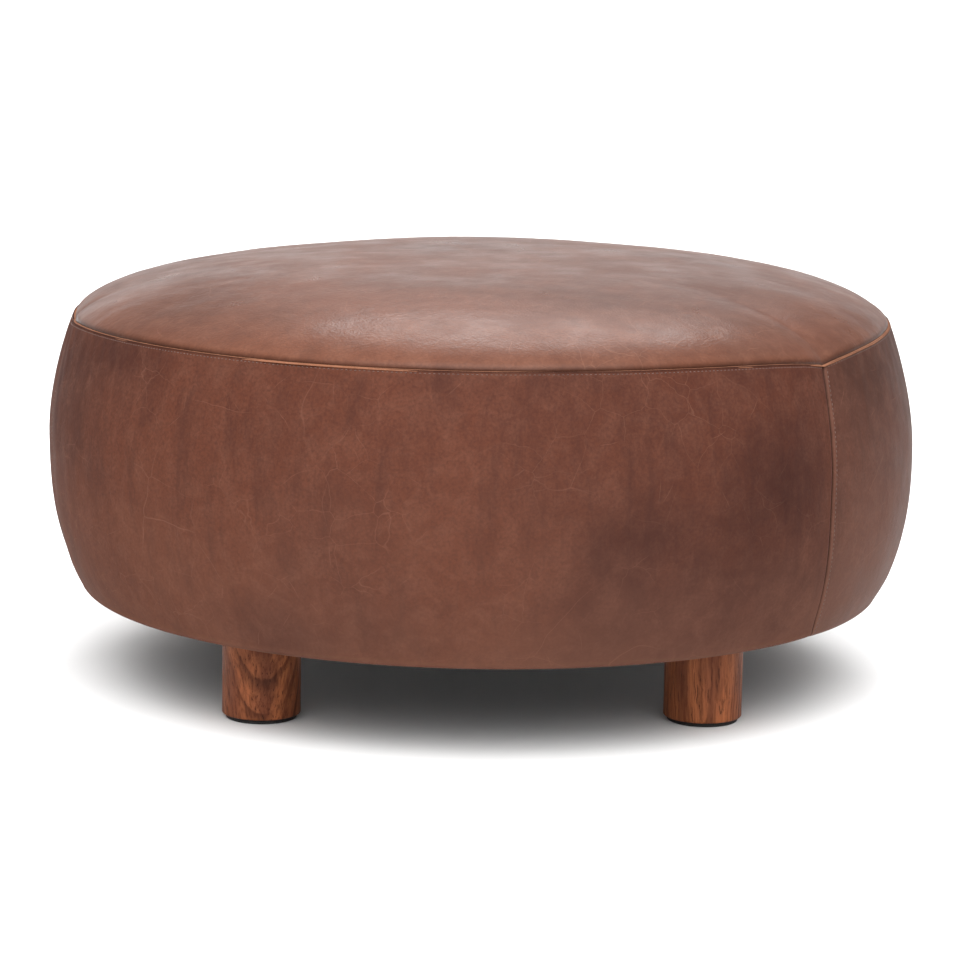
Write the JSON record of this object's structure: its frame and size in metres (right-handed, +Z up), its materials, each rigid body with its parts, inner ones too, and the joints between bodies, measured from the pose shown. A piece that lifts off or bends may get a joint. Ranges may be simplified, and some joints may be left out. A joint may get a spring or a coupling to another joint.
{
  "type": "round leather ottoman",
  "caption": "Round upholstered leather ottoman: a domed foam seat on a timber drum frame, sewn panel cover with a welted top seam, and screw-in turned wooden legs.",
  "frame": {"origin": "on the floor, under the middle of the round body", "axes": "+Z up; -Y is the side towards the viewer, where the long front leather panel is; +X to the viewer's right; the legs stand at 45 degrees to X and Y"},
  "size_m": [0.9, 0.9, 0.439],
  "materials": {
    "leather_top": "satin",
    "leather_side": "satin",
    "leather_edge": "matte",
    "leg_wood": "satin",
    "glide_rubber": "matte",
    "plywood": "matte",
    "softwood": "matte",
    "hardboard": "matte",
    "foam": "matte",
    "wadding": "matte",
    "cambric": "matte",
    "zinc_steel": "satin"
  },
  "bodies": {
    "body": {"top_leather": "leather_top", "seam_welt": "leather_edge", "side_leather_front": "leather_side", "side_leather_right": "leather_side", "side_leather_left": "leather_side", "crown_batting": "wadding", "side_batting": "wadding", "seat_foam": "foam", "side_foam": "foam", "dust_cover": "cambric", "base_board": "plywood", "seat_board": "plywood", "side_board": "hardboard", "centre_post": "softwood", "frame_post_1": "softwood", "frame_post_2": "softwood", "frame_post_3": "softwood", "frame_post_4": "softwood", "frame_post_5": "softwood", "frame_post_6": "softwood", "frame_post_7": "softwood", "frame_post_8": "softwood", "leg_block_1": "softwood", "leg_block_2": "softwood", "leg_block_3": "softwood", "leg_block_4": "softwood", "tee_nut_1": "zinc_steel", "tee_nut_2": "zinc_steel", "tee_nut_3": "zinc_steel", "tee_nut_4": "zinc_steel"},
    "leg_back_right": {"leg_1": "leg_wood", "glide_1": "glide_rubber", "hanger_bolt_1": "zinc_steel"},
    "leg_back_left": {"leg_2": "leg_wood", "glide_2": "glide_rubber", "hanger_bolt_2": "zinc_steel"},
    "leg_front_left": {"leg_3": "leg_wood", "glide_3": "glide_rubber", "hanger_bolt_3": "zinc_steel"},
    "leg_front_right": {"leg_4": "leg_wood", "glide_4": "glide_rubber", "hanger_bolt_4": "zinc_steel"}
  },
  "joints": [
    {"name": "leg_back_right_screw", "type": "hinge", "parent": "body", "child": "leg_back_right", "pos_m": [0.22097, 0.22097, 0.0948], "axis": [0, 0, -1], "range_deg": [0, 3060]},
    {"name": "leg_back_left_screw", "type": "hinge", "parent": "body", "child": "leg_back_left", "pos_m": [-0.22097, 0.22097, 0.0948], "axis": [0, 0, -1], "range_deg": [0, 3060]},
    {"name": "leg_front_left_screw", "type": "hinge", "parent": "body", "child": "leg_front_left", "pos_m": [-0.22097, -0.22097, 0.0948], "axis": [0, 0, -1], "range_deg": [0, 3060]},
    {"name": "leg_front_right_screw", "type": "hinge", "parent": "body", "child": "leg_front_right", "pos_m": [0.22097, -0.22097, 0.0948], "axis": [0, 0, -1], "range_deg": [0, 3060]}
  ]
}
